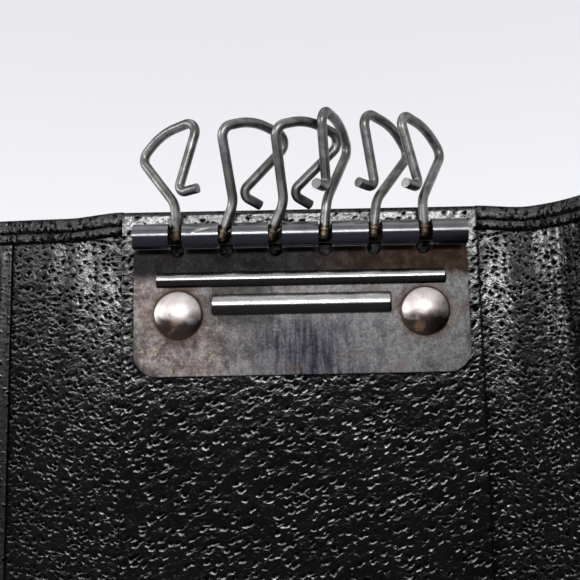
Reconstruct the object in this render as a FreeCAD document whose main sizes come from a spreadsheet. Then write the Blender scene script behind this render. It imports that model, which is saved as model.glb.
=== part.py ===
"""A folding leather key case with six wire key hooks on a rolled metal plate.

The case stands open on its lower edge. X runs along the hook barrel, Y away from the viewer and Z up. The
origin is under the middle of the centre panel, on the surface the case stands on, in the plane of the centre
panel's face. Layers are counted along Y from that face towards the outer leather.
"""
import FreeCAD
import Part
import Sketcher
import math
import os

Vector = FreeCAD.Vector
Rotation = FreeCAD.Rotation
Placement = FreeCAD.Placement

SIZES = {
    # Leather and board
    "case_height": 100.0,
    "center_width": 56.1,
    "flap_drop": 0.8,
    "left_flap_width": 53.0,
    "right_flap_width": 56.0,
    "flap_corner_radius": 6.0,
    "strip_thick": 0.8,
    "strip_below_top": 0.66,
    "lining_thick": 0.5,
    "board_thick": 0.7,
    "leather_thick": 0.9,
    "hem_thick": 0.6,
    "hem_width": 4.0,
    "edge_wrap": 1.0,
    # Folds between the centre and the flaps
    "left_fold_length": 16.0,
    "right_fold_length": 24.0,
    "left_rest_angle": -6.0,
    "right_rest_angle": 90.0,
    "fold_gap": 0.25,
    "fold_lift": 0.3,
    # Slip pocket on the left flap
    "pocket_setback": 1.5,
    "pocket_thick": 0.5,
    "pocket_gap": 0.1,
    "pocket_edge_width": 2.2,
    # Key plate
    "plate_width": 52.0,
    "plate_drop": 21.46,
    "plate_thick": 0.5,
    "plate_corner_radius": 3.6,
    "barrel_radius": 2.05,
    "barrel_below_top": 4.9,
    "barrel_setback": 0.3,
    "curl_end_angle": 252.0,
    "knuckle_corner_radius": 0.45,
    "slot_pitch": 7.68,
    "slot_width": 2.15,
    "slot_end_margin": 6.0,
    "relief_depth": 1.0,
    "ridge_height": 0.75,
    "ridge_end_round": 0.3,
    "long_ridge_length": 45.0,
    "long_ridge_width": 2.35,
    "long_ridge_drop": 6.54,
    "short_ridge_length": 27.8,
    "short_ridge_width": 3.3,
    "short_ridge_drop": 10.53,
    # Rivets
    "rivet_spacing": 38.2,
    "rivet_drop": 11.98,
    "rivet_radius": 3.8,
    "rivet_height": 1.7,
    "rivet_rim": 0.4,
    "shank_radius": 1.5,
    "shank_bore": 0.9,
    "post_flange_radius": 3.4,
    "post_flange_thick": 0.3,
    "hole_clearance": 0.05,
    "press_gap": 0.02,
    # Hooks and their washers
    "wire_diameter": 1.55,
    "stem_length": 5.54,
    "shoulder_out": 6.34,
    "shoulder_rise": 15.37,
    "crown_out": 1.89,
    "crown_rise": 18.56,
    "corner_out": 5.66,
    "corner_rise": 18.6,
    "return_out": 0.53,
    "return_rise": 7.2,
    "tail_out": 4.45,
    "tail_rise": 6.91,
    "stem_bend": 4.27,
    "shoulder_bend": 1.82,
    "crown_bend": 8.5,
    "corner_bend": 1.79,
    "return_bend": 1.15,
    "head_radius": 1.1,
    "head_depth": 0.75,
    "head_top": 0.4,
    "washer_radius": 1.18,
    "washer_low": 0.45,
    "washer_high": 0.9,
    "lean_1": 10.0,
    "lean_2": -4.1,
    "lean_3": -8.5,
    "lean_4": -0.6,
    "lean_5": 5.5,
    "lean_6": 8.6,
    "tilt_1": -4.2,
    "tilt_2": 21.0,
    "tilt_3": 23.6,
    "tilt_4": 6.9,
    "tilt_5": 8.6,
    "tilt_6": 0.9,
    "swivel_1": 30.5,
    "swivel_2": -30.2,
    "swivel_3": -27.7,
    "swivel_4": 115.8,
    "swivel_5": 137.2,
    "swivel_6": 132.3,
    # Snap fastener
    "snap_inset": 12.0,
    "snap_setback": 12.1,
    "snap_cap_radius": 6.0,
    "snap_cap_height": 1.9,
    "snap_shank_radius": 1.4,
    "socket_radius": 5.2,
    "socket_height": 1.6,
    "socket_bore": 2.12,
    "socket_floor": 0.1,
    "stud_base_radius": 4.6,
    "stud_base_height": 0.6,
    "stud_radius": 2.0,
    "stud_height": 2.5,
    "stud_waist": 1.7,
    "snap_flange_radius": 4.0,
    "snap_flange_thick": 0.3,
}
HOOK_COUNT = 6

doc = FreeCAD.newDocument("KeyCase")
sheet = doc.addObject("Spreadsheet::Sheet", "Sizes")
for row, (alias, number) in enumerate(SIZES.items(), start=1):
    sheet.set("A%d" % row, alias)
    sheet.set("B%d" % row, str(number))
    sheet.setAlias("B%d" % row, alias)
doc.recompute()
nodes = []


def size(alias):
    """A driving dimension, read from the sheet."""
    return float(getattr(sheet, alias))


def value(expression):
    """The number that an expression over the sheet gives now."""
    return float(sheet.evalExpression(expression))


def cells(text):
    """Writes each bare alias in an expression as a reference to its cell."""
    words = text.replace("(", " ( ").replace(")", " ) ").split()
    return " ".join("Sizes." + word if word in SIZES else word for word in words)


# Layers of the centre and of the flaps, as expressions over the sheet
STRIP_BACK = cells("strip_thick")
LINING_BACK = cells("strip_thick + lining_thick")
BOARD_BACK = cells("strip_thick + lining_thick + board_thick")
OUTER_BACK = cells("strip_thick + lining_thick + board_thick + leather_thick")
HEM_FRONT = cells("strip_thick - hem_thick")
FLAP_HEIGHT = cells("case_height - flap_drop")
NEUTRAL = cells("( strip_thick + lining_thick + board_thick ) * 0.8")
SHAPE_FAULTS = ("Invalid", "Error")
SAME_PLACE = 1e-4


def new_body(label):
    body = doc.addObject("PartDesign::Body", label)
    body.Label = label
    nodes.append(body)
    return body


def origin_plane(body, role):
    return next(item for item in body.Origin.OriginFeatures if item.Role == role)


def new_sketch(body, name, role, offset=None):
    """A sketch on one of the body's own origin planes, moved along or turned by an offset."""
    sketch = body.newObject("Sketcher::SketchObject", name)
    sketch.AttachmentSupport = [(origin_plane(body, role), "")]
    sketch.MapMode = "FlatFace"
    if offset is not None:
        sketch.AttachmentOffset = offset
    return sketch


def pin(sketch, geometry, end, across, along):
    """Fixes one end of a line at two expressions, measured from the sketch's origin."""
    for kind, expression in (("DistanceX", across), ("DistanceY", along)):
        at = sketch.addConstraint(Sketcher.Constraint(kind, -1, 1, geometry, end, value(expression)))
        sketch.setExpression("Constraints[%d]" % at, expression)


def polygon(sketch, corners):
    """A closed outline of straight lines whose corners are pairs of expressions."""
    points = [Vector(value(across), value(along), 0) for across, along in corners]
    count = len(points)
    for index in range(count):
        sketch.addGeometry(Part.LineSegment(points[index], points[(index + 1) % count]), False)
    for index in range(count):
        sketch.addConstraint(Sketcher.Constraint("Coincident", index, 2, (index + 1) % count, 1))
    for index, (across, along) in enumerate(corners):
        pin(sketch, index, 1, across, along)


def rectangle(sketch, left, right, low, high):
    polygon(sketch, [(left, low), (right, low), (right, high), (left, high)])


def circle(sketch, across, along, radius):
    middle = Vector(value(across), value(along), 0)
    at = sketch.addGeometry(Part.Circle(middle, Vector(0, 0, 1), value(radius)))
    pin(sketch, at, 3, across, along)
    limit = sketch.addConstraint(Sketcher.Constraint("Radius", at, value(radius)))
    sketch.setExpression("Constraints[%d]" % limit, radius)


def panel_outline(sketch, start, end, low, high, radius):
    """A panel with square corners at its start edge and round ones at its far edge."""
    x0, x1, z0, z1, r = (value(text) for text in (start, end, low, high, radius))
    quarter = math.pi / 2
    up = Vector(0, 0, 1)
    sketch.addGeometry(Part.LineSegment(Vector(x0, z0, 0), Vector(x1 - r, z0, 0)))
    low_arc = Part.Circle(Vector(x1 - r, z0 + r, 0), up, r)
    sketch.addGeometry(Part.ArcOfCircle(low_arc, -quarter, 0))
    sketch.addGeometry(Part.LineSegment(Vector(x1, z0 + r, 0), Vector(x1, z1 - r, 0)))
    high_arc = Part.Circle(Vector(x1 - r, z1 - r, 0), up, r)
    sketch.addGeometry(Part.ArcOfCircle(high_arc, 0, quarter))
    sketch.addGeometry(Part.LineSegment(Vector(x1 - r, z1, 0), Vector(x0, z1, 0)))
    sketch.addGeometry(Part.LineSegment(Vector(x0, z1, 0), Vector(x0, z0, 0)))
    for before in range(4):
        sketch.addConstraint(Sketcher.Constraint("Tangent", before, 2, before + 1, 1))
    sketch.addConstraint(Sketcher.Constraint("Coincident", 4, 2, 5, 1))
    sketch.addConstraint(Sketcher.Constraint("Coincident", 5, 2, 0, 1))
    sketch.addConstraint(Sketcher.Constraint("Horizontal", 0))
    sketch.addConstraint(Sketcher.Constraint("Vertical", 2))
    sketch.addConstraint(Sketcher.Constraint("Horizontal", 4))
    sketch.addConstraint(Sketcher.Constraint("Equal", 1, 3))
    pin(sketch, 5, 1, start, high)
    pin(sketch, 5, 2, start, low)
    far = sketch.addConstraint(Sketcher.Constraint("DistanceX", -1, 1, 2, 1, x1))
    sketch.setExpression("Constraints[%d]" % far, end)
    bend = sketch.addConstraint(Sketcher.Constraint("Radius", 1, r))
    sketch.setExpression("Constraints[%d]" % bend, radius)


def arc_through(start, middle, end):
    """A circular arc edge in a sketch, from two ends and a point between them."""
    return Part.Arc(Vector(*start, 0), Vector(*middle, 0), Vector(*end, 0))


def line(start, end):
    return Part.LineSegment(Vector(*start, 0), Vector(*end, 0))


def layer_sketch(body, name, front):
    """A sketch seen from the front, lying at a depth along Y given by an expression."""
    sketch = new_sketch(body, name, "XZ_Plane")
    sketch.setExpression("AttachmentOffset.Base.z", "-1 * (%s)" % front)
    return sketch


def pad_back(body, name, sketch, depth):
    """Adds material from a front-view sketch towards the outer leather."""
    pad = body.newObject("PartDesign::Pad", name)
    pad.Profile = sketch
    pad.setExpression("Length", depth)
    pad.Reversed = True
    sketch.Visibility = False
    return pad


def pocket_back(body, name, sketch, depth):
    """Cuts from a front-view sketch towards the outer leather."""
    pocket = body.newObject("PartDesign::Pocket", name)
    pocket.Profile = sketch
    pocket.setExpression("Length", depth)
    pocket.Reversed = False
    sketch.Visibility = False
    return pocket


def difference(high, low):
    return "(%s) - (%s)" % (high, low)


def revolve(body, name, sketch, role="Z_Axis"):
    """A full turn of a profile about one of the body's own axes."""
    turn = body.newObject("PartDesign::Revolution", name)
    turn.Profile = sketch
    turn.ReferenceAxis = (origin_plane(body, role), [""])
    turn.Angle = 360
    return turn


def round_edges(body, name, feature, chosen, radius):
    """Rounds the edges of a feature that a test picks out."""
    doc.recompute()
    picked = [
        "Edge%d" % (index + 1)
        for index, edge in enumerate(feature.Shape.Edges)
        if chosen(edge)
    ]
    fillet = body.newObject("PartDesign::Fillet", name)
    fillet.Base = (feature, picked)
    fillet.setExpression("Radius", radius)
    return fillet


def runs_along(edge, axis):
    """Whether an edge is straight and parallel to an axis."""
    if edge.Curve.TypeId != "Part::GeomLine":
        return False
    return near(abs(edge.Curve.Direction.dot(axis)), 1)


def near(first, second):
    return abs(first - second) < SAME_PLACE


X_AXIS = Vector(1, 0, 0)
Y_AXIS = Vector(0, 1, 0)
Z_AXIS = Vector(0, 0, 1)
FACING_VIEWER = Rotation(X_AXIS, 90)
FACING_AWAY = Rotation(X_AXIS, -90)
HALF_CENTER = cells("center_width / 2")
CENTER_LEFT = "-1 * (%s)" % HALF_CENTER
RIVET_RIGHT = cells("rivet_spacing / 2")
RIVET_LEFT = "-1 * (%s)" % RIVET_RIGHT
RIVET_LEVEL = cells("case_height - barrel_below_top - rivet_drop")
SHANK_HOLE = cells("shank_radius + hole_clearance")
BARREL_LEVEL = value(cells("case_height - barrel_below_top"))


def rivet_holes(body, name, front, depth, radius):
    """A pair of round holes where the two rivets pass."""
    sketch = layer_sketch(body, name + "Sketch", front)
    circle(sketch, RIVET_LEFT, RIVET_LEVEL, radius)
    circle(sketch, RIVET_RIGHT, RIVET_LEVEL, radius)
    return pocket_back(body, name, sketch, depth)


def center_layer(label, front, back, low, high):
    """One flat layer of the centre, with the rivet holes through it."""
    body = new_body(label)
    outline = layer_sketch(body, label + "Outline", front)
    rectangle(outline, CENTER_LEFT, HALF_CENTER, low, high)
    depth = difference(back, front)
    pad = pad_back(body, label + "Pad", outline, depth)
    rivet_holes(body, label + "Holes", front, depth, SHANK_HOLE)
    return body, pad


def center_pieces():
    """The centre's face strip, lining, board and outer leather."""
    inside_low = cells("edge_wrap")
    inside_high = cells("case_height - edge_wrap")
    strip, strip_pad = center_layer(
        "center_panel", "0", STRIP_BACK, cells("fold_lift"), cells("case_height - strip_below_top")
    )
    strip_top = value(cells("case_height - strip_below_top"))
    round_edges(
        strip,
        "center_panel_round",
        strip.Tip,
        lambda edge: runs_along(edge, X_AXIS)
        and near(edge.CenterOfMass.z, strip_top)
        and near(edge.CenterOfMass.y, 0),
        cells("strip_thick * 0.94"),
    )
    center_layer("center_lining", STRIP_BACK, LINING_BACK, inside_low, inside_high)
    board, board_pad = center_layer("center_board", LINING_BACK, BOARD_BACK, inside_low, inside_high)
    flange_front = difference(BOARD_BACK, cells("post_flange_thick"))
    rivet_holes(
        board,
        "center_board_recess",
        flange_front,
        cells("post_flange_thick"),
        cells("post_flange_radius + hole_clearance"),
    )
    outer = new_body("back_panel")
    section = new_sketch(outer, "back_panel_section", "YZ_Plane")
    polygon(
        section,
        [
            (STRIP_BACK, "0"),
            (OUTER_BACK, "0"),
            (OUTER_BACK, cells("case_height")),
            (STRIP_BACK, cells("case_height")),
            (STRIP_BACK, inside_high),
            (BOARD_BACK, inside_high),
            (BOARD_BACK, inside_low),
            (STRIP_BACK, inside_low),
        ],
    )
    pad = outer.newObject("PartDesign::Pad", "back_panel_pad")
    pad.Profile = section
    pad.Midplane = True
    pad.setExpression("Length", cells("center_width"))
    top = size("case_height")
    round_edges(
        outer,
        "back_panel_round",
        pad,
        lambda edge: runs_along(edge, X_AXIS) and near(edge.CenterOfMass.z, top),
        cells("edge_wrap * 0.9"),
    )


def bend(length, angle):
    """How far an evenly bent fold's end lies across and in front of its start."""
    turn = math.radians(angle)
    return length * math.sin(turn) / turn, length * (1 - math.cos(turn)) / turn


def fold_end(side):
    """Where a flap's start edge lies at rest, on the layer that keeps its length when the fold bends."""
    across, ahead = bend(size(side + "_fold_length"), size(side + "_rest_angle"))
    sign = 1 if side == "right" else -1
    return Vector(sign * (size("center_width") / 2 + across), value(NEUTRAL) - ahead, 0)


def flip_left(side, low="0"):
    """The left pieces are the right ones turned about the line through the middle of their height."""
    if side == "right":
        return Placement()
    middle = (value(FLAP_HEIGHT) + value(low)) / 2
    return Placement(Vector(0, 0, 0), Rotation(Y_AXIS, 180), Vector(0, 0, middle))


def flap_placement(side):
    """Carries a flap piece from its own flat frame to its place at rest."""
    turn = size(side + "_rest_angle") * (-1 if side == "right" else 1)
    at_rest = Placement(fold_end(side), Rotation(Z_AXIS, turn))
    to_neutral = Placement(Vector(0, -value(NEUTRAL), 0), Rotation())
    return at_rest.multiply(to_neutral).multiply(flip_left(side))


def flap_layer(side, label, front, back, inset, start="0"):
    """One flat layer of a flap, set in from the flap's three free edges."""
    body = new_body(label)
    width = cells(side + "_flap_width")
    outline = layer_sketch(body, label + "_outline", front)
    corner = difference(cells("flap_corner_radius"), inset)
    panel_outline(outline, start, difference(width, inset), inset, difference(FLAP_HEIGHT, inset), corner)
    pad_back(body, label + "_pad", outline, difference(back, front))
    return body


def snap_hole(body, side, name, front, back, radius):
    """A round hole where the snap fastener passes through a flap layer."""
    sketch = layer_sketch(body, name + "_sketch", front)
    circle(sketch, snap_place(side), "(%s) / 2" % FLAP_HEIGHT, radius)
    pocket_back(body, name, sketch, difference(back, front))


def snap_place(side):
    """The snap's distance from a flap's start edge, as far out on the right as both flaps have room for.

    It is the same place on both when they are closed, the right flap over the left one.
    """
    room_on_right = cells("right_flap_width - snap_inset")
    room_on_left = cells("center_width - snap_setback")
    on_right = "min(%s; %s)" % (room_on_right, room_on_left)
    if side == "right":
        return on_right
    return difference(cells("center_width"), on_right)


def flap_pieces(side):
    """A flap's outer leather with its turned hems, its board and its lining."""
    opening = "0"
    outer = flap_layer(side, side + "_flap", HEM_FRONT, OUTER_BACK, opening)
    width = cells(side + "_flap_width")
    for name, front, back, inset in (
        ("window", HEM_FRONT, STRIP_BACK, cells("hem_width")),
        ("cavity", STRIP_BACK, BOARD_BACK, cells("edge_wrap")),
    ):
        sketch = layer_sketch(outer, "%s_flap_%s_outline" % (side, name), front)
        corner = difference(cells("flap_corner_radius"), inset)
        high = difference(FLAP_HEIGHT, inset)
        panel_outline(sketch, opening, difference(width, inset), inset, high, corner)
        pocket_back(outer, "%s_flap_%s" % (side, name), sketch, difference(back, front))
    board = flap_layer(side, side + "_board", LINING_BACK, BOARD_BACK, cells("edge_wrap"))
    lining = flap_layer(side, side + "_lining", STRIP_BACK, LINING_BACK, cells("edge_wrap"))
    shank = cells("snap_shank_radius + hole_clearance")
    snap_hole(outer, side, side + "_flap_snap_hole", BOARD_BACK, OUTER_BACK, shank)
    snap_hole(board, side, side + "_board_snap_hole", LINING_BACK, BOARD_BACK, shank)
    if side == "right":
        snap_hole(lining, side, "right_lining_snap_hole", STRIP_BACK, LINING_BACK, shank)
    else:
        flange_back = "(%s) + (%s)" % (LINING_BACK, cells("snap_flange_thick"))
        flange = cells("snap_flange_radius + hole_clearance")
        snap_hole(board, side, "left_board_recess", LINING_BACK, flange_back, flange)
    for piece in (outer, board, lining):
        piece.Placement = flap_placement(side)


def pocket_panel():
    """The slip pocket's face on the left flap, with its opening edge folded double."""
    front = difference(STRIP_BACK, cells("pocket_thick"))
    inset = cells("hem_width + pocket_gap")
    body = flap_layer("left", "left_pocket", front, STRIP_BACK, inset, cells("pocket_setback"))
    edge_front = difference(front, cells("pocket_thick"))
    edge = layer_sketch(body, "left_pocket_edge_outline", edge_front)
    rectangle(
        edge,
        cells("pocket_setback"),
        cells("pocket_setback + pocket_edge_width"),
        inset,
        difference(FLAP_HEIGHT, inset),
    )
    pad_back(body, "left_pocket_edge", edge, cells("pocket_thick"))
    body.Placement = flap_placement("left")


def fold_section(body, label, across):
    """A fold's outer leather in section, turned over at its top and bottom, as far out as across says."""
    section = new_sketch(body, label + "_section", "YZ_Plane")
    low = cells("fold_lift")
    wrap_low = cells("fold_lift + edge_wrap")
    hem_low = cells("fold_lift + hem_width")
    wrap_high = difference(FLAP_HEIGHT, cells("edge_wrap"))
    hem_high = difference(FLAP_HEIGHT, cells("hem_width"))
    hem, lining, board, outer = (across(text) for text in (HEM_FRONT, STRIP_BACK, LINING_BACK, OUTER_BACK))
    polygon(
        section,
        [
            (hem, low),
            (outer, low),
            (outer, FLAP_HEIGHT),
            (hem, FLAP_HEIGHT),
            (hem, hem_high),
            (lining, hem_high),
            (lining, wrap_high),
            (board, wrap_high),
            (board, wrap_low),
            (lining, wrap_low),
            (lining, hem_low),
            (hem, hem_low),
        ],
    )
    return section


def lining_section(body, label, across):
    section = new_sketch(body, label + "_section", "YZ_Plane")
    low = cells("fold_lift + edge_wrap")
    high = difference(FLAP_HEIGHT, cells("edge_wrap"))
    rectangle(section, across(STRIP_BACK), across(LINING_BACK), low, high)
    return section


def fold_pieces(side):
    """The soft stretch between the centre and a flap: outer leather and lining, bent evenly."""
    angle = cells(side + "_rest_angle")
    length = cells(side + "_fold_length")
    bend_radius = "(%s) / (%s) * 180 / pi" % (length, angle)
    gap_angle = "%s / abs(%s) * 180 / pi" % (cells("fold_gap"), bend_radius)

    def across(layer):
        return "(%s) - (%s) + (%s)" % (layer, NEUTRAL, bend_radius)

    for label, section in ((side + "_fold", fold_section), (side + "_fold_lining", lining_section)):
        body = new_body(label)
        turn = body.newObject("PartDesign::Revolution", label + "_bend")
        turn.Profile = section(body, label, across)
        turn.ReferenceAxis = (origin_plane(body, "Z_Axis"), [""])
        turn.setExpression("Angle", "abs(%s) - (%s)" % (angle, gap_angle))
        turn.Reversed = value(angle) > 0
        body.Tip = turn
        center = Vector(value(HALF_CENTER), value(NEUTRAL) - value(bend_radius), 0)
        if side == "left":
            center.x = -center.x
        body.Placement = Placement(center, Rotation()).multiply(flip_left(side, cells("fold_lift")))


def ridge_section(body, name, level, width, front, crest):
    """A ridge in section: a chord along the sheet and an arc that stands out to its crest."""
    section = new_sketch(body, name, "YZ_Plane")
    low = (front, level - width / 2)
    high = (front, level + width / 2)
    section.addGeometry(line(low, high))
    section.addGeometry(arc_through(high, (crest, level), low))
    return section


def ridge(body, name):
    """A round ridge pressed out of the plate: raised in front, hollow behind."""
    back = size("barrel_radius")
    front = back - size("plate_thick")
    height = size("ridge_height")
    level = -size(name + "_drop")
    width = size(name + "_width")
    length = size(name + "_length")
    raised = body.newObject("PartDesign::Pad", name + "_raised")
    raised.Profile = ridge_section(body, name + "_section", level, width, front, front - height)
    raised.Midplane = True
    raised.setExpression("Length", cells(name + "_length"))
    round_edges(
        body,
        name + "_ends",
        raised,
        lambda edge: near(abs(edge.CenterOfMass.x), length / 2)
        and edge.CenterOfMass.y < front
        and edge.Curve.TypeId == "Part::GeomCircle",
        cells("ridge_end_round"),
    )
    hollow = body.newObject("PartDesign::Pocket", name + "_hollow")
    inside = ridge_section(body, name + "_hollow_section", level, width * 0.7, back, back - height)
    hollow.Profile = inside
    hollow.Midplane = True
    hollow.setExpression("Length", cells(name + "_length * 0.98"))


def on_barrel(angle, radius):
    """A point of the barrel's section; the angle runs from the back over the top to the front."""
    turn = math.radians(angle)
    return radius * math.cos(turn), radius * math.sin(turn)


def plate_section(body):
    """The plate and its rolled barrel in section: one sheet that runs up the back, over and under."""
    section = new_sketch(body, "key_plate_section", "YZ_Plane")
    outer = size("barrel_radius")
    inner = outer - size("plate_thick")
    end = size("curl_end_angle")
    foot = -size("plate_drop")
    section.addGeometry(line((outer, foot), (outer, 0)))
    section.addGeometry(arc_through((outer, 0), on_barrel(end / 2, outer), on_barrel(end, outer)))
    section.addGeometry(line(on_barrel(end, outer), on_barrel(end, inner)))
    section.addGeometry(arc_through(on_barrel(end, inner), on_barrel(end / 2, inner), (inner, 0)))
    section.addGeometry(line((inner, 0), (inner, foot)))
    section.addGeometry(line((inner, foot), (outer, foot)))
    return section


def slot_angles():
    """How far behind straight up a hook slot's round end is centred, and how far in front the slot runs."""
    furthest_lean = max(size("lean_%d" % (index + 1)) for index in range(HOOK_COUNT))
    past_the_end = size("curl_end_angle") - 90 + size("slot_end_margin")
    return furthest_lean + size("slot_end_margin"), past_the_end


def knuckle_corner(sketch, wall, way, radius):
    """What the mouth of a slot takes off one knuckle to round its corner: way is 1 to the slot's right."""
    spare = radius / 2
    inside = wall - way * spare
    far = wall + way * radius
    middle = (wall + way * radius * (1 - math.sqrt(0.5)), radius * (1 - math.sqrt(0.5)))
    sketch.addGeometry(line((inside, -spare), (far, -spare)))
    sketch.addGeometry(line((far, -spare), (far, 0)))
    sketch.addGeometry(arc_through((far, 0), middle, (wall, radius)))
    sketch.addGeometry(line((wall, radius), (inside, radius)))
    sketch.addGeometry(line((inside, radius), (inside, -spare)))


def slots(body):
    """Six slots that part the barrel into knuckles, and a relief in the plate under each of them."""
    reach = 0.5
    outer = size("barrel_radius") + reach
    inner = size("barrel_radius") - size("plate_thick") - reach
    first = "-2.5 * (%s)" % cells("slot_pitch")
    half = cells("slot_width / 2")
    back, front = slot_angles()
    band = new_sketch(body, "slot_band", "XZ_Plane")
    rectangle(
        band,
        difference(first, half),
        "%s + %s" % (first, half),
        cells("barrel_radius - plate_thick") + " - %g" % reach,
        cells("barrel_radius") + " + %g" % reach,
    )
    doc.recompute()
    groove = body.newObject("PartDesign::Groove", "slot_sweep")
    groove.Profile = band
    groove.ReferenceAxis = (origin_plane(body, "X_Axis"), [""])
    groove.Type = "TwoAngles"
    groove.Angle = front
    groove.Angle2 = back
    turn = Rotation(X_AXIS, -back)
    offset = Placement(turn.multVec(Vector(0, 0, outer)), turn)
    round_end = new_sketch(body, "slot_back_end_outline", "XY_Plane", offset)
    circle(round_end, first, "0", half)
    hole = body.newObject("PartDesign::Pocket", "slot_back_end")
    hole.Profile = round_end
    hole.Length = outer - inner
    relief = layer_sketch(body, "relief_outline", cells("barrel_radius - plate_thick"))
    middle = value(first)
    radius = value(half)
    top = -size("barrel_radius") / 2
    low = -size("barrel_radius") - size("relief_depth") + radius
    relief.addGeometry(line((middle - radius, top), (middle - radius, low)))
    relief.addGeometry(arc_through((middle - radius, low), (middle, low - radius), (middle + radius, low)))
    relief.addGeometry(line((middle + radius, low), (middle + radius, top)))
    relief.addGeometry(line((middle + radius, top), (middle - radius, top)))
    under = pocket_back(body, "slot_relief", relief, cells("plate_thick"))
    turn = Rotation(X_AXIS, size("curl_end_angle") - 90)
    offset = Placement(turn.multVec(Vector(0, 0, outer)), turn)
    mouth = new_sketch(body, "slot_mouth_outline", "XY_Plane", offset)
    for way in (-1, 1):
        knuckle_corner(mouth, middle + way * radius, way, size("knuckle_corner_radius"))
    corners = body.newObject("PartDesign::Pocket", "slot_mouth")
    corners.Profile = mouth
    corners.Length = outer - inner
    doc.recompute()
    pattern = body.newObject("PartDesign::LinearPattern", "slot_row")
    pattern.Originals = [groove, hole, under, corners]
    pattern.Direction = (origin_plane(body, "X_Axis"), [""])
    pattern.setExpression("Length", "%d * %s" % (HOOK_COUNT - 1, cells("slot_pitch")))
    pattern.Occurrences = HOOK_COUNT
    body.Tip = pattern


def barrel_ends(body):
    """Cuts both ends of the barrel back a little from the plate's side edges."""
    for side, sign in (("left", -1), ("right", 1)):
        outline = layer_sketch(body, side + "_barrel_end_outline", "-1 * (%s)" % cells("barrel_radius"))
        rectangle(
            outline,
            "%d * (%s)" % (sign, cells("plate_width / 2 - barrel_setback")),
            "%d * (%s)" % (sign, cells("plate_width / 2 + barrel_setback")),
            "-1 * (%s)" % cells("barrel_radius"),
            cells("barrel_radius * 1.5"),
        )
        pocket_back(body, side + "_barrel_end", outline, cells("barrel_radius * 2"))


def key_plate():
    """The key plate, with its own origin on the barrel's axis."""
    body = new_body("key_plate")
    pad = body.newObject("PartDesign::Pad", "key_plate_pad")
    pad.Profile = plate_section(body)
    pad.Midplane = True
    pad.setExpression("Length", cells("plate_width"))
    foot = -size("plate_drop")
    half = size("plate_width") / 2
    round_edges(
        body,
        "key_plate_corners",
        pad,
        lambda edge: runs_along(edge, Y_AXIS)
        and near(edge.CenterOfMass.z, foot)
        and near(abs(edge.CenterOfMass.x), half),
        cells("plate_corner_radius"),
    )
    ridge(body, "long_ridge")
    ridge(body, "short_ridge")
    holes = layer_sketch(body, "plate_rivet_holes", cells("barrel_radius - plate_thick"))
    circle(holes, RIVET_LEFT, "-1 * " + cells("rivet_drop"), SHANK_HOLE)
    circle(holes, RIVET_RIGHT, "-1 * " + cells("rivet_drop"), SHANK_HOLE)
    pocket_back(body, "plate_rivet_pocket", holes, cells("plate_thick"))
    barrel_ends(body)
    slots(body)
    body.Placement = Placement(barrel_axis(), Rotation())


def barrel_axis():
    """A point on the barrel's axis, over the middle of the case."""
    return Vector(0, -size("barrel_radius"), BARREL_LEVEL)


def dome(radius, low, high):
    """A shallow dome in section, from its rim to its top: an arc edge."""
    rise = high - low
    sphere = (radius * radius + rise * rise) / (2 * rise)
    middle = radius / 2
    return arc_through(
        (radius, low), (middle, high - sphere + math.sqrt(sphere * sphere - middle * middle)), (0, high)
    )


def outline_of(sketch, points, crown=None):
    """Draws a closed half section from the axis outwards; a crown arc closes it from the last point."""
    for start, end in zip(points, points[1:]):
        sketch.addGeometry(line(start, end))
    if crown is None:
        sketch.addGeometry(line(points[-1], points[0]))
        return
    sketch.addGeometry(crown)
    sketch.addGeometry(line((0, crown.EndPoint.y), points[0]))


def turned_piece(label, points, crown=None):
    """A piece turned about its own Z axis from a half section."""
    body = new_body(label)
    section = new_sketch(body, label + "_section", "XZ_Plane")
    outline_of(section, points, crown)
    body.Tip = revolve(body, label + "_turn", section)
    return body


def rivets():
    """Two domed caps with hollow shanks, and the two posts that lock them from behind the board."""
    flange = size("post_flange_thick")
    face = size("plate_thick")
    foot = -(face + value(BOARD_BACK) - flange)
    bore_top = -face * 0.5
    shank = size("shank_radius")
    bore = size("shank_bore")
    rim = size("rivet_rim")
    post = bore - size("press_gap")
    for side, across in (("left", RIVET_LEFT), ("right", RIVET_RIGHT)):
        cap = turned_piece(
            side + "_rivet_cap",
            [
                (0, bore_top),
                (bore, bore_top),
                (bore, foot),
                (shank, foot),
                (shank, 0),
                (size("rivet_radius"), 0),
                (size("rivet_radius"), rim),
            ],
            dome(size("rivet_radius"), rim, size("rivet_height")),
        )
        rear = turned_piece(
            side + "_rivet_post",
            [
                (0, foot - flange),
                (size("post_flange_radius"), foot - flange),
                (size("post_flange_radius"), foot),
                (post, foot),
                (post, bore_top - size("press_gap")),
                (0, bore_top - size("press_gap")),
            ],
        )
        for piece in (cap, rear):
            piece.Placement = Placement(Vector(value(across), -face, value(RIVET_LEVEL)), FACING_VIEWER)


def rounded_route(points, radii):
    """Line and arc edges through points, with each inner corner rounded to its radius."""
    edges = []
    here = points[0]
    for before, corner, after, radius in zip(points, points[1:], points[2:], radii):
        to_before = (before - corner).normalize()
        to_after = (after - corner).normalize()
        half = to_before.getAngle(to_after) / 2
        reach = radius / math.tan(half)
        inward = (to_before + to_after).normalize()
        middle = corner + inward * (radius / math.sin(half) - radius)
        start = corner + to_before * reach
        end = corner + to_after * reach
        edges.append(Part.LineSegment(here, start))
        edges.append(Part.Arc(start, middle, end))
        here = end
    edges.append(Part.LineSegment(here, points[-1]))
    return edges


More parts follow.
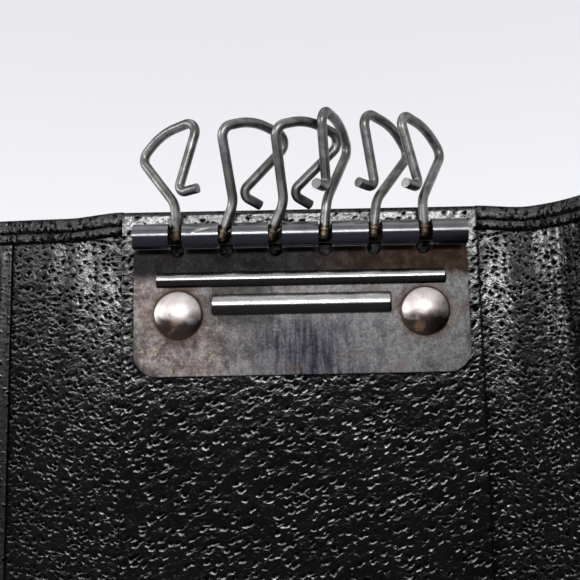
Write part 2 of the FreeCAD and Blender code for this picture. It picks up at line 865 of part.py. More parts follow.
def hook_route():
    """The bent wire's centre line in its own plane, from the barrel's axis to the cut tail."""
    points = [
        Vector(0, 0, 0),
        Vector(0, size("stem_length"), 0),
        Vector(-size("shoulder_out"), size("shoulder_rise"), 0),
        Vector(-size("crown_out"), size("crown_rise"), 0),
        Vector(size("corner_out"), size("corner_rise"), 0),
        Vector(size("return_out"), size("return_rise"), 0),
        Vector(size("tail_out"), size("tail_rise"), 0),
    ]
    names = ("stem_bend", "shoulder_bend", "crown_bend", "corner_bend", "return_bend")
    return rounded_route(points, [size(name) for name in names])


def hook_placement(index):
    """A hook's place at rest: leaning, tilted in its slot and turned about its stem."""
    tilt = size("tilt_%d" % index)
    lean = Rotation(X_AXIS, -size("lean_%d" % index))
    sway = Rotation(Y_AXIS, tilt)
    turn = Rotation(Z_AXIS, -size("swivel_%d" % index))
    slot = (index - (HOOK_COUNT + 1) / 2) * size("slot_pitch")
    mid_wall = size("barrel_radius") - size("plate_thick") / 2
    base = barrel_axis() + Vector(slot - mid_wall * math.tan(math.radians(tilt)), 0, 0)
    return Placement(base, lean.multiply(sway).multiply(turn))


def key_hook(index):
    """A bent wire hook with a peened head inside the barrel, and the washer that the head bears on."""
    label = "key_hook_%d" % index
    wire = size("wire_diameter") / 2
    body = new_body(label)
    route = new_sketch(body, label + "_route", "XZ_Plane")
    for edge in hook_route():
        route.addGeometry(edge)
    ring = new_sketch(body, label + "_wire", "XY_Plane")
    circle(ring, "0", "0", cells("wire_diameter / 2"))
    doc.recompute()
    pipe = body.newObject("PartDesign::AdditivePipe", label + "_pipe")
    pipe.Profile = ring
    pipe.Spine = (route, ["Edge%d" % (count + 1) for count in range(len(route.Shape.Edges))])
    head = new_sketch(body, label + "_head", "XZ_Plane")
    radius = size("head_radius")
    depth = size("head_depth")
    outline_of(
        head,
        [
            (0, -depth),
            (radius * 0.6, -depth),
            (radius, -depth * 0.5),
            (radius, size("head_top")),
            (0, size("head_top")),
        ],
    )
    body.Tip = revolve(body, label + "_head_turn", head)
    hole = wire + size("hole_clearance")
    washer = turned_piece(
        "hook_washer_%d" % index,
        [
            (hole, size("washer_low")),
            (size("washer_radius"), size("washer_low")),
            (size("washer_radius"), size("washer_high")),
            (hole, size("washer_high")),
        ],
    )
    for piece in (body, washer):
        piece.Placement = hook_placement(index)


def snap_pieces():
    """The snap fastener: cap and socket on the right flap, stud and post on the left flap."""
    shank = size("snap_shank_radius")
    middle = value(FLAP_HEIGHT) / 2
    lining_face = value(STRIP_BACK)
    outer_face = value(OUTER_BACK)
    floor = size("socket_floor")
    cap_radius = size("snap_cap_radius")
    rim = size("rivet_rim")
    cap = turned_piece(
        "snap_cap",
        [
            (0, lining_face - outer_face),
            (shank, lining_face - outer_face),
            (shank, 0),
            (cap_radius, 0),
            (cap_radius, rim),
        ],
        dome(cap_radius, rim, size("snap_cap_height")),
    )
    socket_radius = size("socket_radius")
    height = size("socket_height")
    lip = size("socket_bore")
    socket = turned_piece(
        "snap_socket",
        [
            (0, 0),
            (socket_radius, 0),
            (socket_radius, height * 0.4),
            (socket_radius * 0.7, height),
            (lip, height),
            (lip, floor),
            (0, floor),
        ],
    )
    post_back = value(LINING_BACK)
    flange = size("snap_flange_thick")
    base_height = size("stud_base_height")
    waist = size("stud_waist")
    knob = size("stud_radius")
    tall = size("stud_height")
    bore = shank + size("press_gap")
    stud = turned_piece(
        "snap_stud",
        [
            (bore, 0),
            (size("stud_base_radius"), 0),
            (size("stud_base_radius"), base_height * 0.5),
            (waist, base_height),
            (knob, base_height + (tall - base_height) * 0.6),
            (knob * 0.8, tall),
            (bore, tall),
        ],
    )
    post = turned_piece(
        "snap_post",
        [
            (0, post_back - outer_face),
            (size("snap_flange_radius"), post_back - outer_face),
            (size("snap_flange_radius"), post_back - outer_face + flange),
            (shank, post_back - outer_face + flange),
            (shank, tall - base_height * 0.3),
            (0, tall - base_height * 0.3),
        ],
    )
    seats = (
        (cap, "right", outer_face, FACING_AWAY),
        (socket, "right", lining_face, FACING_VIEWER),
        (stud, "left", outer_face, FACING_AWAY),
        (post, "left", outer_face, FACING_AWAY),
    )
    for piece, side, face, facing in seats:
        seat = Placement(Vector(value(snap_place(side)), face, middle), facing)
        piece.Placement = flap_placement(side).multiply(seat)


def check_document():
    """Stops if any object failed to compute or any sub-part is not one sound solid."""
    doc.recompute()
    for item in doc.Objects:
        if any(fault in item.State for fault in SHAPE_FAULTS):
            raise RuntimeError("%s failed: %s" % (item.Label, item.State))
    for body in nodes:
        if body.Shape.isNull() or not body.Shape.isValid() or len(body.Shape.Solids) != 1:
            raise RuntimeError("%s is not one valid solid" % body.Label)


def write_parts():
    os.makedirs("parts", exist_ok=True)
    for body in nodes:
        body.Shape.exportStep("parts/%s.step" % body.Label)


center_pieces()
for flap_side in ("left", "right"):
    flap_pieces(flap_side)
    fold_pieces(flap_side)
pocket_panel()
key_plate()
rivets()
for hook_index in range(1, HOOK_COUNT + 1):
    key_hook(hook_index)
snap_pieces()
check_document()
write_parts()
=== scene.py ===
"""Looks for a folding leather key case that stands open, seen from the front of its hook plate.

Sizes are in millimetres until a mesh is made. Leather is described flat: s runs outwards from an edge of the
centre strip, y runs from the inner face to the outer one and z is up. Folding that sheet round the two bends
gives its place in the frame.
"""
import math

import bpy
import numpy as np
from mathutils import Matrix, Vector


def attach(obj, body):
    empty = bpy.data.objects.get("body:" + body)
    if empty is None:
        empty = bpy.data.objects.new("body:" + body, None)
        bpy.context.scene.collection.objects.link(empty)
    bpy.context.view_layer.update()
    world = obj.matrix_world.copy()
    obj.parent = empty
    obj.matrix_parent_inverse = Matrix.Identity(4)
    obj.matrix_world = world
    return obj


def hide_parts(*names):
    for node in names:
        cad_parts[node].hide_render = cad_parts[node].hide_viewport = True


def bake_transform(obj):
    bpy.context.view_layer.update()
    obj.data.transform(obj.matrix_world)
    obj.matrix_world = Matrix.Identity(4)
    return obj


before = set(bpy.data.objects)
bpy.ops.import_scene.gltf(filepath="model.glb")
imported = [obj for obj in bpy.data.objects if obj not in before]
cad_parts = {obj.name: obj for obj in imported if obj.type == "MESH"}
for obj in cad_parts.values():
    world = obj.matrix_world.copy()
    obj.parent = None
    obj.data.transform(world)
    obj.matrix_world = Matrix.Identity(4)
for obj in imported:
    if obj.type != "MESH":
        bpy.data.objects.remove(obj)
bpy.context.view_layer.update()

MM = 0.001
MM_IN_CM = 0.1
HALF_CENTER = 28.05
CASE_TOP = 100.0
FLAP_TOP = 99.2
STRIP_LOW = 0.3
STRIP_TOP = 99.34
STRIP_THICK = 0.8
OUTER_BACK = 2.9
HEM_FRONT = 0.2
EDGE_RADIUS = (OUTER_BACK - HEM_FRONT) / 2
NEUTRAL = 1.6
CORNER_RADIUS = 6.0
DROP_LENGTH = 9.0
COVER_INSET = 3.0
COVER_BACK = OUTER_BACK - 0.01
COVER_LAP = (2.4, 4.5)
LINING_INSET = 1.2
LINING_TUCK = 1.0
LINING_FACE = STRIP_THICK - 0.02
STRIP_DIP = 0.04
TURN_IN = 5.0
SIDES = {
    "left": {"sign": -1, "fold": 16.0, "angle": math.radians(-6.0), "flap": 53.0, "body": "left_side"},
    "right": {"sign": 1, "fold": 24.0, "angle": math.radians(90.0), "flap": 56.0, "body": "right_side"},
}
POCKET_START = 1.5
POCKET_INSET = 4.1
POCKET_FRONT = 0.32
POCKET_BACK = STRIP_THICK - 0.06
POCKET_EDGE = 2.2
POCKET_EDGE_RISE = 0.38
POCKET_EDGE_SLOPE = 0.35
HOOK_COUNT = 6

# Places that the finishes follow

# Heights of the painted sheen towards the top, which partly stands for wear, and of more of it at the very
# top
TOP_SHEEN_AND_WEAR_SPAN = (60.0, 95.0)
RIM_SHEEN_AND_WEAR_SPAN = (94.5, 96.5)
PLATE_PATCH = {"half": 25.8, "low": 73.9, "high": 95.0}
BARREL_MIDDLE = (0.0, -2.05, 95.1)
BARREL_RADIUS = 2.05
RIVET_MIDDLE = (19.1, 4.004, 83.12)
RIVET_RADIUS = 6.204
RIVET_RIM = (3.4, 3.7)
RIDGE_START = (-0.56, -0.7)
STEM_STAIN_TOP = 96.6


# Meshes

def new_object(name, points, faces, flat):
    """A smooth-shaded mesh from points in millimetres.

    Its flat sheet coordinates become a UV map in centimetres.
    """
    mesh = bpy.data.meshes.new(name)
    mesh.from_pydata([tuple(p) for p in np.asarray(points) * MM], [], faces)
    layer = mesh.uv_layers.new(name="flat")
    corners = np.empty(len(mesh.loops), dtype=np.int32)
    mesh.loops.foreach_get("vertex_index", corners)
    layer.data.foreach_set("uv", (np.asarray(flat)[corners] * MM_IN_CM).astype(np.float32).ravel())
    mesh.polygons.foreach_set("use_smooth", np.ones(len(mesh.polygons), dtype=bool))
    mesh.update()
    item = bpy.data.objects.new(name, mesh)
    bpy.context.scene.collection.objects.link(item)
    return item


def grid_faces(rows, columns, offset=0):
    """Quads over a grid of points stored row by row."""
    faces = []
    for row in range(rows - 1):
        low = offset + row * columns
        high = low + columns
        for column in range(columns - 1):
            faces.append((low + column, low + column + 1, high + column + 1, high + column))
    return faces


def facing_in(side, faces):
    """Turns a side's faces so that their normals agree with the other side's, which mirrors it."""
    if SIDES[side]["sign"] > 0:
        return faces
    return [tuple(reversed(face)) for face in faces]


def smoothstep(value):
    """Eases from 0 to 1."""
    value = np.clip(value, 0.0, 1.0)
    return value * value * (3 - 2 * value)


def fold(side, s, y, z):
    """Carries flat sheet points round a side's bend to their place at rest."""
    s, y, z = np.broadcast_arrays(np.asarray(s, float), np.asarray(y, float), np.asarray(z, float))
    shape = SIDES[side]
    radius = shape["fold"] / shape["angle"]
    turn = np.clip(s / shape["fold"], 0, 1) * shape["angle"]
    beyond = np.maximum(s - shape["fold"], 0) + np.minimum(s, 0)
    x = HALF_CENTER + radius * np.sin(turn) + beyond * np.cos(turn) + (y - NEUTRAL) * np.sin(turn)
    depth = NEUTRAL - radius * (1 - np.cos(turn)) - beyond * np.sin(turn) + (y - NEUTRAL) * np.cos(turn)
    return np.stack([shape["sign"] * x, depth, z], axis=-1)


def top_edge(s):
    """Height of a side's top edge, which drops a little as it leaves the centre."""
    return FLAP_TOP + (CASE_TOP - FLAP_TOP) * (1 - smoothstep(np.asarray(s) / DROP_LENGTH))


def spaced(start, end, step):
    """Even stations from start to end, about a step apart."""
    return np.linspace(start, end, max(2, int(round(abs(end - start) / step)) + 1))


def side_stations(side, end):
    """Stations along a side's sheet, close together where it bends."""
    bend = SIDES[side]["fold"]
    return np.concatenate([spaced(0, bend, step=0.5), spaced(bend, end, step=1.5)[1:]])


def waviness(s, z, seed, size, height):
    """A gentle unevenness of soft leather, made from a few fixed waves."""
    waves = 7
    rng = np.random.default_rng(seed)
    total = np.zeros(np.broadcast(s, z).shape)
    for _ in range(waves):
        direction = rng.uniform(0, 2 * math.pi)
        wave = size * rng.uniform(0.6, 1.7)
        phase = rng.uniform(0, 2 * math.pi)
        along = np.asarray(s) * math.cos(direction) + np.asarray(z) * math.sin(direction)
        total = total + np.sin(2 * math.pi * along / wave + phase)
    return total * height / (waves / 2)


def rounded_end(z, low, high, end, radius):
    """How far a panel reaches at a height, with its two outer corners rounded."""
    inside = np.minimum(np.asarray(z) - low, high - np.asarray(z))
    short = np.clip(radius - inside, 0, radius)
    return end - (radius - np.sqrt(np.maximum(radius * radius - short * short, 0)))


def row_shares(count):
    """Row positions from 0 to 1, closer together at both ends."""
    ease = np.linspace(0, math.pi, count)
    even = np.linspace(0, 1, count)
    return 0.5 * even + 0.25 * (1 - np.cos(ease))


def sheet_grid(side, start, inset, count):
    """Flat s and z of a side's whole sheet, drawn in from its three free edges."""
    end = SIDES[side]["fold"] + SIDES[side]["flap"] - inset
    stations = side_stations(side, end)
    if start < 0:
        stations = np.concatenate([[start], stations])
    rows = row_shares(count)
    s = np.broadcast_to(stations[None, :], (len(rows), len(stations)))
    z = inset + rows[:, None] * (top_edge(s) - 2 * inset)
    return np.minimum(s, rounded_end(z, inset, FLAP_TOP - inset, end, CORNER_RADIUS - inset)), z


# The hem in section, from its cut edge over the crease to the round edge: distance in, and depth.
HEM_PROFILE = [
    (3.9, 0.78), (4.0, 0.62), (4.02, 0.4), (3.94, 0.24), (3.75, 0.15), (3.4, 0.12), (3.05, 0.14),
    (2.8, 0.22), (2.64, 0.33), (2.54, 0.33), (2.38, 0.2), (2.1, 0.12), (1.75, 0.12), (1.35, 0.2),
]


def edge_profile():
    """Section of a turned edge: the hem, the round edge and a lap on the outside."""
    arc = np.linspace(0, math.pi, 13)[1:]
    rim = [
        (EDGE_RADIUS * (1 - math.sin(turn)), OUTER_BACK - EDGE_RADIUS * (1 + math.cos(turn)))
        for turn in arc
    ]
    lap = [(distance, OUTER_BACK) for distance in COVER_LAP]
    return np.array(HEM_PROFILE + rim + lap)


def edge_route(side):
    """A side's free edge, along the top, down the far side and back below.

    Each row has a point's s and z and the direction inwards from it.
    """
    width = SIDES[side]["fold"] + SIDES[side]["flap"]
    top = side_stations(side, width - CORNER_RADIUS)
    points = [(s, float(top_edge(s)), 0.0, -1.0) for s in top]
    turns = np.linspace(0, math.pi / 2, 11)[1:]
    for turn in turns:
        s = width - CORNER_RADIUS + CORNER_RADIUS * math.sin(turn)
        z = FLAP_TOP - CORNER_RADIUS + CORNER_RADIUS * math.cos(turn)
        points.append((s, z, -math.sin(turn), -math.cos(turn)))
    for z in spaced(FLAP_TOP - CORNER_RADIUS, CORNER_RADIUS, step=2.0)[1:]:
        points.append((width, z, -1.0, 0.0))
    for turn in turns:
        s = width - CORNER_RADIUS + CORNER_RADIUS * math.cos(turn)
        z = CORNER_RADIUS - CORNER_RADIUS * math.sin(turn)
        points.append((s, z, -math.cos(turn), math.sin(turn)))
    for s in top[::-1][1:]:
        points.append((s, 0.0, 0.0, 1.0))
    return np.array(points)


def blend_side(piece, side):
    """Finds where a side's fold starts and ends, and bakes the piece's place into its mesh."""
    start = fold(side, 0.0, NEUTRAL, CASE_TOP / 2) * MM
    end = fold(side, SIDES[side]["fold"], NEUTRAL, CASE_TOP / 2) * MM
    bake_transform(piece)


def side_cover(side):
    """A side's outer leather: one sheet outside, turned in over three edges as a creased hem."""
    route = edge_route(side)
    profile = edge_profile()
    s = route[:, 0:1] + route[:, 2:3] * profile[None, :, 0]
    z = route[:, 1:2] + route[:, 3:4] * profile[None, :, 0]
    puff = waviness(route[:, 0:1] + route[:, 1:2], 0 * s, seed=11, size=26.0, height=0.05)
    on_hem = (profile[None, :, 1] < 0.5) * 1.0
    y = profile[None, :, 1] + puff * on_hem
    points = fold(side, s, y, z).reshape(-1, 3)
    flat = np.stack([s, z], axis=-1).reshape(-1, 2)
    faces = grid_faces(len(route), len(profile))
    back_s, back_z = sheet_grid(side, 0.0, COVER_INSET, count=50)
    back = fold(side, back_s, COVER_BACK, back_z).reshape(-1, 3)
    faces = faces + grid_faces(*back_s.shape, len(points))
    points = np.concatenate([points, back])
    flat = np.concatenate([flat, np.stack([back_s, back_z], axis=-1).reshape(-1, 2)])
    cover = new_object(side + "_cover", points, facing_in(side, faces), flat)
    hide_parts(side + "_flap", side + "_fold")
    blend_side(cover, side)
    return cover


def side_lining(side):
    """A side's inner leather, lying under the hem and a little uneven where it bends."""
    s, z = sheet_grid(side, -LINING_TUCK, LINING_INSET, count=90)
    length = SIDES[side]["fold"]
    wrinkle_length = 4.2
    wrinkle_depth = 0.05
    wrinkle_start = 1.0
    bend = np.exp(-((s - length * 0.55) / (length * 0.45)) ** 2)
    along = s + 0.02 * z + waviness(s, z, seed=5, size=60.0, height=0.8)
    wrinkle = np.sin(2 * math.pi * along / wrinkle_length)
    y = LINING_FACE - wrinkle_depth * bend * wrinkle * (s > wrinkle_start)
    y = y + waviness(s, z, seed=3, size=30.0, height=0.05)
    points = fold(side, s, y, z).reshape(-1, 3)
    flat = np.stack([s, z], axis=-1).reshape(-1, 2)
    faces = facing_in(side, grid_faces(*s.shape))
    lining = new_object(side + "_inner", points, faces, flat)
    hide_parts(side + "_lining", side + "_fold_lining")
    blend_side(lining, side)
    return lining


def slab(name, s_lines, z_lines, front, back, place, bulge):
    """A leather panel with a rounded front rim: front face, four sides and a plain back."""
    rim = 0.5 * (back - front)
    settled = 3.0
    s, z = np.meshgrid(s_lines, z_lines)
    inside = np.minimum.reduce([s - s_lines[0], s_lines[-1] - s, z - z_lines[0], z_lines[-1] - z])
    short = np.clip(rim - inside, 0, rim)
    y = front + rim - np.sqrt(np.maximum(rim * rim - short * short, 0))
    y = y + bulge(s, z) * smoothstep(inside / settled)
    face = place(s, y, z).reshape(-1, 3)
    rear = place(s, np.full_like(s, back), z).reshape(-1, 3)
    rows, columns = s.shape
    faces = grid_faces(rows, columns)
    count = rows * columns
    faces += [tuple(reversed(quad)) for quad in grid_faces(rows, columns, count)]
    ring = (
        list(range(columns))
        + [row * columns + columns - 1 for row in range(1, rows)]
        + [(rows - 1) * columns + column for column in range(columns - 2, -1, -1)]
        + [row * columns for row in range(rows - 2, 0, -1)]
    )
    for here, after in zip(ring, ring[1:] + ring[:1]):
        faces.append((after, here, count + here, count + after))
    flat = np.stack([s, z], axis=-1).reshape(-1, 2)
    return new_object(name, np.concatenate([face, rear]), faces, np.concatenate([flat, flat]))


def rim_lines(low, high, step):
    """Grid lines that crowd towards both ends, to round the rim."""
    close = np.array([0.0, 0.03, 0.09, 0.18, 0.3, 0.45, 0.62, 0.9, 1.3])
    margin = 1.8
    return np.concatenate([low + close, spaced(low + margin, high - margin, step), high - close[::-1]])


def center_strip():
    """The pebbled leather strip behind the key plate."""
    strip = slab(
        "center_strip",
        rim_lines(-HALF_CENTER, HALF_CENTER, step=1.2),
        rim_lines(STRIP_LOW, STRIP_TOP, step=1.2),
        front=0.0,
        back=STRIP_THICK,
        place=lambda s, y, z: np.stack([s, y, z], axis=-1),
        bulge=lambda s, z: waviness(s, z, seed=8, size=34.0, height=0.05) + STRIP_DIP,
    )
    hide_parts("center_panel")
    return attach(strip, "center")


def center_cover():
    """Outer leather of the centre, turned over the top and bottom behind the strip."""
    radius = (OUTER_BACK - STRIP_THICK) / 2
    arc = np.linspace(0, math.pi, 15)
    middle = STRIP_THICK + radius
    top = [(middle - radius * math.cos(turn), CASE_TOP - radius + radius * math.sin(turn)) for turn in arc]
    low = [(middle + radius * math.cos(turn), radius - radius * math.sin(turn)) for turn in arc]
    down = [(OUTER_BACK, z) for z in spaced(CASE_TOP - radius, radius, step=2.5)[1:-1]]
    start = (STRIP_THICK, CASE_TOP - TURN_IN)
    end = (STRIP_THICK, TURN_IN)
    profile = np.array([start] + top + down + low + [end])
    across = spaced(-HALF_CENTER, HALF_CENTER, step=1.4)
    x = np.repeat(across[:, None], len(profile), axis=1)
    y = np.repeat(profile[None, :, 0], len(across), axis=0)
    z = np.repeat(profile[None, :, 1], len(across), axis=0)
    points = np.stack([x, y, z], axis=-1).reshape(-1, 3)
    walk = np.concatenate([[0], np.cumsum(np.linalg.norm(np.diff(profile, axis=0), axis=1))])
    flat = np.stack([x, np.repeat(walk[None, :], len(across), axis=0)], axis=-1).reshape(-1, 2)
    cover = new_object("center_cover", points, grid_faces(len(across), len(profile)), flat)
    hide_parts("back_panel", "center_lining")
    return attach(cover, "center")


def pocket_face():
    """The slip pocket on the left flap, its opening edge folded double."""
    shape = SIDES["left"]
    start = shape["fold"] + POCKET_START
    end = shape["fold"] + shape["flap"] - POCKET_INSET

    def bulge(s, z):
        fold_band = 1 - smoothstep((s - start - POCKET_EDGE) / POCKET_EDGE_SLOPE)
        return waviness(s, z, seed=21, size=28.0, height=0.06) - POCKET_EDGE_RISE * fold_band

    pocket = slab(
        "pocket_face",
        rim_lines(start, end, step=1.2),
        rim_lines(POCKET_INSET, FLAP_TOP - POCKET_INSET, step=1.6),
        front=POCKET_FRONT,
        back=POCKET_BACK,
        place=lambda s, y, z: fold("left", s, y, z),
        bulge=bulge,
    )
    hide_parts("left_pocket")
    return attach(pocket, "left_side")


# Node trees

class Nodes:
    """Builds a node tree a socket at a time."""

    def __init__(self, tree):
        self.tree = tree
        tree.nodes.clear()

    def feed(self, socket, value):
        """Links a socket to another node's output, or sets its own value."""
        if isinstance(value, bpy.types.NodeSocket):
            self.tree.links.new(value, socket)
        else:
            socket.default_value = value

    def node(self, kind, inputs, **settings):
        item = self.tree.nodes.new(kind)
        for key, setting in settings.items():
            setattr(item, key, setting)
        for key, value in inputs.items():
            self.feed(item.inputs[key], value)
        return item

    def noise(self, vector, scale, detail=3.0, roughness=0.55, distortion=0.0):
        inputs = {
            "Vector": vector,
            "Scale": scale,
            "Detail": detail,
            "Roughness": roughness,
            "Distortion": distortion,
        }
        return self.node("ShaderNodeTexNoise", inputs).outputs[0]

    def cells(self, vector, scale):
        """A field of uneven cells: distance from the nearest middle, and a random number for each cell."""
        cell = self.node("ShaderNodeTexVoronoi", {"Vector": vector, "Scale": scale})
        return cell.outputs["Distance"], self.axis(cell.outputs["Color"], 0)

    def math(self, operation, first, second=0.0):
        return self.node("ShaderNodeMath", {0: first, 1: second}, operation=operation).outputs[0]

    def product(self, first, *others):
        """Multiplies numbers."""
        for other in others:
            first = self.math("MULTIPLY", first, other)
        return first

    def total(self, first, *others):
        """Adds numbers."""
        for other in others:
            first = self.math("ADD", first, other)
        return first

    def apart(self, value, middle):
        """How far a number is from a middle one, on either side."""
        return self.math("ABSOLUTE", self.math("SUBTRACT", value, middle))

    def ramp(self, value, low, high, start=0.0, end=1.0):
        """Eases from start to end as the value goes from low to high."""
        inputs = {"Value": value, "From Min": low, "From Max": high, "To Min": start, "To Max": end}
        return self.node("ShaderNodeMapRange", inputs, interpolation_type="SMOOTHSTEP").outputs["Result"]

    def mix(self, factor, first, second, share=1.0):
        """Blends two colours, the second one by no more than a share."""
        if share < 1.0:
            factor = self.product(factor, share)
        colors = {6: first, 7: second}
        for key, value in colors.items():
            if isinstance(value, tuple):
                colors[key] = (*value, 1.0)
        return self.node("ShaderNodeMix", {0: factor, **colors}, data_type="RGBA").outputs[2]

    def between(self, factor, first, second):
        """Blends two numbers."""
        return self.node("ShaderNodeMix", {0: factor, 2: first, 3: second}, data_type="FLOAT").outputs[0]

    def axis(self, vector, index):
        return self.node("ShaderNodeSeparateXYZ", {"Vector": vector}).outputs[index]

    def combined(self, x, y, z):
        return self.node("ShaderNodeCombineXYZ", {0: x, 1: y, 2: z}).outputs[0]

    def vector(self, operation, first, second=(0.0, 0.0, 0.0)):
        return self.node("ShaderNodeVectorMath", {0: first, 1: second}, operation=operation).outputs["Vector"]

    def length(self, vector):
        return self.node("ShaderNodeVectorMath", {0: vector}, operation="LENGTH").outputs["Value"]


class Finish(Nodes):
    """A node material with one surface shader."""

    def __init__(self, name):
        self.material = bpy.data.materials.new(name)
        self.material.use_nodes = True
        super().__init__(self.material.node_tree)
        self.surface = self.tree.nodes.new("ShaderNodeBsdfPrincipled")
        output = self.tree.nodes.new("ShaderNodeOutputMaterial")
        self.tree.links.new(self.surface.outputs["BSDF"], output.inputs["Surface"])

    def set(self, **values):
        for key, value in values.items():
            self.feed(self.surface.inputs[key.replace("_", " ")], value)

    def place(self):
        """Position on a part that keeps its shape, in millimetres."""
        metres = self.node("ShaderNodeTexCoord", {}).outputs["Object"]
        return self.vector("MULTIPLY", metres, (1 / MM,) * 3)

    def sheet(self):
        """Position on a flat leather sheet, in centimetres."""
        return self.node("ShaderNodeUVMap", {}, uv_map="flat").outputs["UV"]

    def stretched(self, vector, scale, turn=0.0):
        """Draws a pattern out along axes that are turned about the third one."""
        inputs = {"Vector": vector, "Rotation": (0, 0, math.radians(turn)), "Scale": scale}
        return self.node("ShaderNodeMapping", inputs, vector_type="TEXTURE").outputs["Vector"]

    def hollows(self, distance, open_share, closed_share):
        """One in tight corners, zero in the open."""
        inputs = {"Distance": distance * MM}
        shade = self.node("ShaderNodeAmbientOcclusion", inputs, samples=6).outputs["AO"]
        return self.ramp(shade, open_share, closed_share)

    def underside(self, start, end):
        """Zero where the part's surface faces up and one where it faces down; start and end are slopes."""
        normal = self.node("ShaderNodeTexCoord", {}).outputs["Normal"]
        return self.ramp(self.axis(normal, 2), start, end)

    def relief(self, height, depth, edge=0.0, turned=None):
        """Bumps the surface by a depth; an edge radius also softens the corners of a hard part.

        turned gives the exact normal of a round surface, and where it holds.
        """
        inputs = {"Height": height, "Distance": depth * MM}
        if edge:
            bevel = self.node("ShaderNodeBevel", {"Radius": edge * MM}, samples=4)
            inputs["Normal"] = bevel.outputs["Normal"]
        if turned:
            exact, holds = turned
            mixed = {0: holds, 4: inputs["Normal"], 5: exact}
            inputs["Normal"] = self.node("ShaderNodeMix", mixed, data_type="VECTOR").outputs[1]
        bumped = self.node("ShaderNodeBump", inputs).outputs["Normal"]
        self.set(Normal=bumped)
        return bumped

    def turned(self, spoke, radius):
        """The exact normal along a spoke from the middle of a round surface, and where that surface is."""
        world = self.node(
            "ShaderNodeVectorTransform",
            {"Vector": self.vector("NORMALIZE", spoke)},
            vector_type="NORMAL",
            convert_from="OBJECT",
            convert_to="WORLD",
        ).outputs[0]
        return world, self.ramp(self.apart(self.length(spoke), radius), 0.25, 0.15)


# Leather

class Leather(Finish):
    """Black leather with uneven pits between rounded lands, fine grain, soft wrinkles and wear.

    The bend that creases it starts and ends at centimetres along the sheet.
    """

    SHADE = (0.0035, 0.0035, 0.004)
    GLOSS = 0.25
    BEND_START = (0.4, 1.4)
    BEND_END = (3.2, 2.4)

    def __init__(self, name, grain, turn, stretch):
        """grain is the number of pits to a centimetre, drawn out along a line at the angle turn."""
        super().__init__(name)
        self.grain = grain
        self.flat = self.sheet()
        self.level = self.axis(self.place(), 2)
        self.wear = self.ramp(self.noise(self.flat, 0.9, 3.0), 0.35, 0.68)
        wander = self.node("ShaderNodeTexNoise", {"Vector": self.flat, "Scale": grain * 0.6, "Detail": 2.0})
        shift = self.vector("SUBTRACT", wander.outputs["Color"], (0.5, 0.5, 0.5))
        self.warped = self.vector("ADD", self.flat, self.vector("MULTIPLY", shift, (1.1 / grain,) * 3))
        self.drawn = self.stretched(self.warped, (stretch, 1.0, 1.0), turn)

    def press(self, pits, depth, fine):
        """Presses the pits in, and returns where the lands are and how far the surface faces up.

        pits gives where their walls start and end, as shares of a cell. fine is the height of the fine grain.
        """
        distance, pick = self.cells(self.drawn, self.grain)
        land = self.ramp(distance, *pits)
        hollow = self.product(self.math("SUBTRACT", 1.0, land), self.ramp(pick, 0.0, 1.0, 0.35, 1.0))
        height = self.total(
            self.math("SUBTRACT", 1.0, hollow),
            self.product(self.noise(self.warped, self.grain * 2.6, 2.0), fine),
            self.product(self.noise(self.drawn, self.grain * 0.55, 1.0), 0.9),
        )
        return land, self.axis(self.relief(height, depth), 2)

    def dye_and_pit_shade(self, land):
        """Black, with painted shade deeper in the pits, and a little greyer and smoother where it is worn."""
        # Painted shade: the pits are darker than the lands.
        pit = tuple(0.35 * value for value in self.SHADE)
        worn = tuple(1.6 * value for value in self.SHADE)
        color = self.mix(land, pit, self.mix(self.wear, self.SHADE, worn))
        polish = self.ramp(land, 0.2, 0.9, self.GLOSS + 0.2, self.GLOSS)
        self.set(Base_Color=color, Roughness=self.total(polish, self.ramp(self.wear, 0, 1, 0.05, -0.04)))

    def painted_sheen_and_wear(self, slope, sheen, top_sheen_and_wear, rim_sheen_and_wear):
        """Painted sheen on what faces up to the lamps, and on upright places towards the top, partly standing
        for wear.
        """
        worn_share = self.ramp(self.wear, 0, 1, 0.7, 1.2)
        top_sheen_and_wear_lift = self.total(
            self.product(self.ramp(self.level, *TOP_SHEEN_AND_WEAR_SPAN, 0.0, top_sheen_and_wear), worn_share),
            self.ramp(self.level, *RIM_SHEEN_AND_WEAR_SPAN, 0.0, rim_sheen_and_wear),
        )
        # Painted sheen: more shine where the surface faces a little up to the lamps.
        return self.ramp(self.total(slope, top_sheen_and_wear_lift), 0.03, 0.14, sheen, 1.0)

    def creased(self, strength):
        """One, and less along upright lines where a side bends, as painted shade in the creases."""
        along = self.axis(self.flat, 0)
        bent = self.product(self.ramp(along, *self.BEND_START), self.ramp(along, *self.BEND_END))
        lines = self.noise(self.stretched(self.warped, (0.11, 1.3, 1.0)), 1.0, 1.0)
        lines = self.ramp(self.apart(lines, 0.5), 0.11, 0.02)
        return self.ramp(self.product(lines, bent), 0.0, 1.0, 1.0, 1.0 - strength)

    def uncovered(self, half, low, high):
        """Nearly zero under a part with this half width, bottom and top, as that part's painted shadow, and
        one elsewhere.
        """
        margin = 0.5
        across = self.math("ABSOLUTE", self.axis(self.place(), 0))
        patch = self.product(
            self.ramp(across, half, half - margin),
            self.ramp(self.level, low, low + margin),
            self.ramp(self.level, high, high - margin),
        )
        return self.ramp(patch, 0.0, 1.0, 1.0, 0.06)


